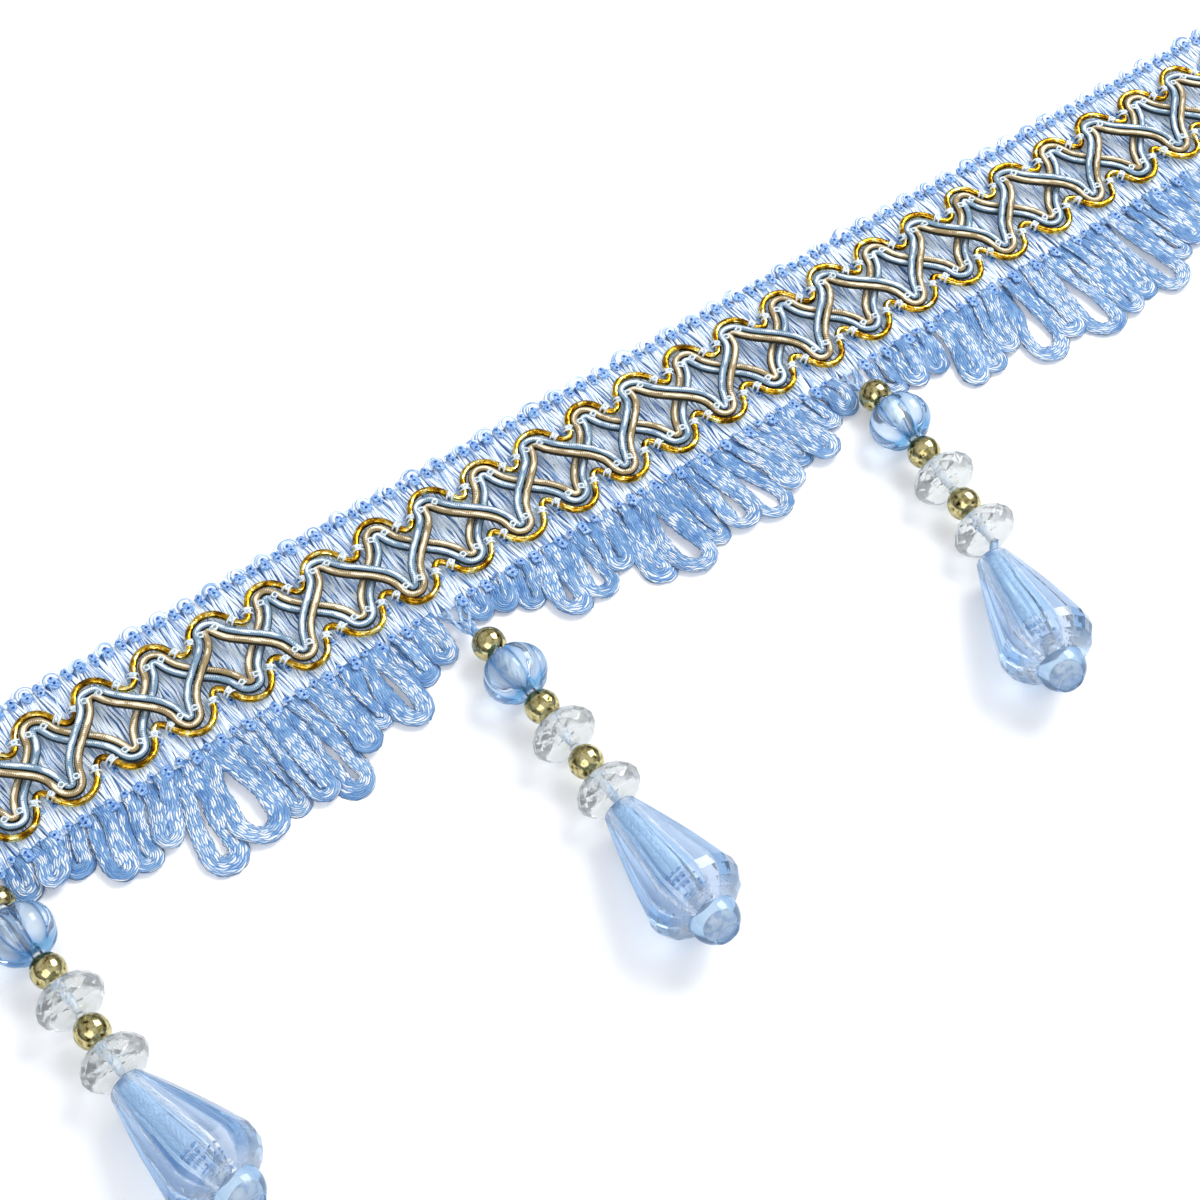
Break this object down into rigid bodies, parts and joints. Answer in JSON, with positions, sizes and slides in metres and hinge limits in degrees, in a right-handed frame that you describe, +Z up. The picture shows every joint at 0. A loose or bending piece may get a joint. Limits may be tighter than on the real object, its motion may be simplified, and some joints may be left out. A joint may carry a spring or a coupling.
{
  "type": "beaded fringe trim",
  "caption": "Cut length of woven trim with a zigzag gimp braid, gold edging cords, a scalloped loop fringe and beaded drop pendants, lying flat.",
  "frame": {"origin": "middle of the whole outline, on the surface that the trim lies on", "axes": "+X along the trim, +Y towards the heading's looped upper edge and away from the pendants, +Z up out of the braided face"},
  "size_m": [0.33, 0.109, 0.0166],
  "materials": {
    "heading_yarn": "light-blue satin yarn laid across and held by rows of chain stitches",
    "loop_yarn": "light-blue knitted ribbon yarn with fine bright stitches",
    "blue_gimp": "slate-blue thread wound closely round a core",
    "beige_gimp": "beige thread wound closely round a core",
    "gold_foil": "bright gold film wound round a cord",
    "plated_bead": "pale gold plating on a round bead, mirror bright with small pits",
    "blue_bead": "clear light-blue moulded bead with rounded lobes",
    "clear_bead": "colourless moulded bead with cut facets",
    "drop_bead": "clear light-blue moulded drop with long flutes",
    "pendant_yarn": "light-blue doubled yarn"
  },
  "bodies": {
    "root": {"heading": "heading_yarn", "fringe_loops": "loop_yarn", "gimp_lower_blue": "blue_gimp", "gimp_lower_beige": "beige_gimp", "gimp_upper_blue": "blue_gimp", "gimp_upper_beige": "beige_gimp", "gold_cord_top": "gold_foil", "gold_cord_foot": "gold_foil", "pendant_1_gold_bead_1": "plated_bead", "pendant_1_gold_bead_2": "plated_bead", "pendant_1_gold_bead_3": "plated_bead", "pendant_1_melon_bead": "blue_bead", "pendant_1_rondelle_1": "clear_bead", "pendant_1_rondelle_2": "clear_bead", "pendant_1_drop": "drop_bead", "pendant_1_yarn": "pendant_yarn", "pendant_2_gold_bead_1": "plated_bead", "pendant_2_gold_bead_2": "plated_bead", "pendant_2_gold_bead_3": "plated_bead", "pendant_2_melon_bead": "blue_bead", "pendant_2_rondelle_1": "clear_bead", "pendant_2_rondelle_2": "clear_bead", "pendant_2_drop": "drop_bead", "pendant_2_yarn": "pendant_yarn", "pendant_3_gold_bead_1": "plated_bead", "pendant_3_gold_bead_2": "plated_bead", "pendant_3_gold_bead_3": "plated_bead", "pendant_3_melon_bead": "blue_bead", "pendant_3_rondelle_1": "clear_bead", "pendant_3_rondelle_2": "clear_bead", "pendant_3_drop": "drop_bead", "pendant_3_yarn": "pendant_yarn", "pendant_4_gold_bead_1": "plated_bead", "pendant_4_gold_bead_2": "plated_bead", "pendant_4_gold_bead_3": "plated_bead", "pendant_4_melon_bead": "blue_bead", "pendant_4_rondelle_1": "clear_bead", "pendant_4_rondelle_2": "clear_bead", "pendant_4_drop": "drop_bead", "pendant_4_yarn": "pendant_yarn"}
  },
  "joints": []
}
